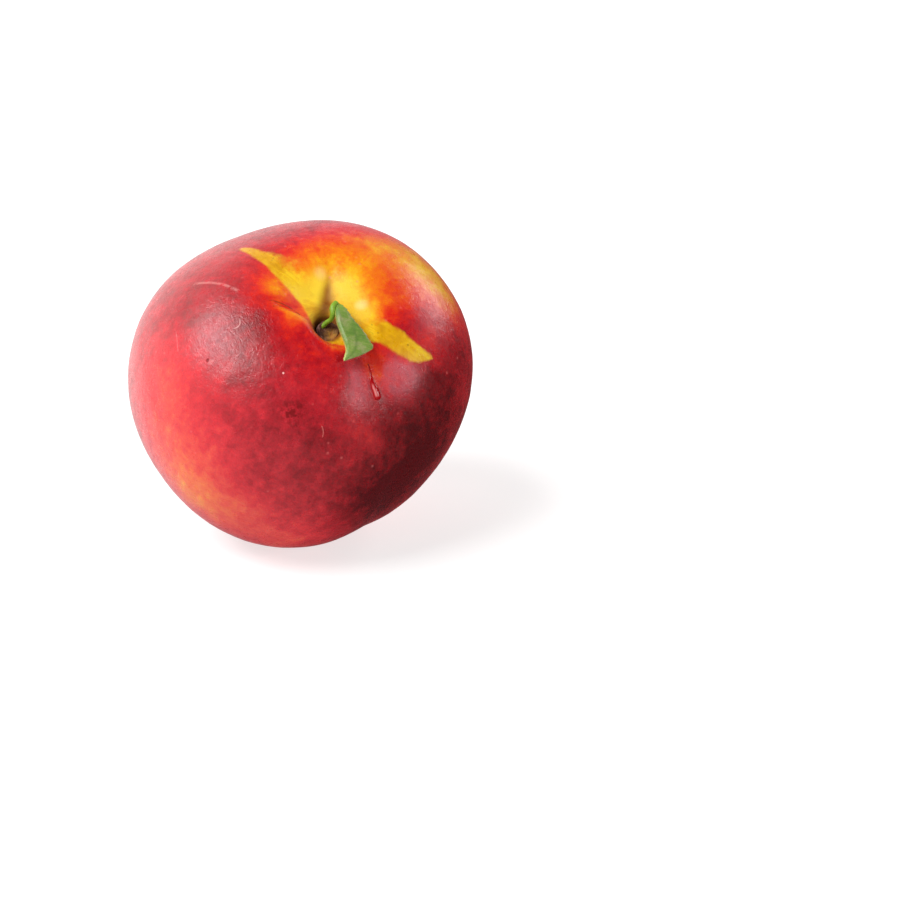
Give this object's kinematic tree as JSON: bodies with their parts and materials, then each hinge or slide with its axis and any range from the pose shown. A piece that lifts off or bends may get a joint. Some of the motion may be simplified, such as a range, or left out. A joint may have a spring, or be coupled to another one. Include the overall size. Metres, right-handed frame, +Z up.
{
  "type": "nectarine",
  "caption": "Whole ripe nectarine with a stem cavity, suture and flat resting spot, a short woody stalk stub and one small folded leaf.",
  "frame": {"origin": "centre of the small flat spot the fruit rests on", "axes": "+Z up from the surface, -Y the side that the stem cavity leans towards, +X to the right when the stem cavity faces the viewer"},
  "size_m": [0.0739, 0.0728, 0.0671],
  "materials": {
    "skin": "satin",
    "stalk_wood": "matte",
    "leaf": "matte"
  },
  "bodies": {
    "root": {"fruit": "skin", "stalk": "stalk_wood", "leaf": "leaf"}
  },
  "joints": []
}
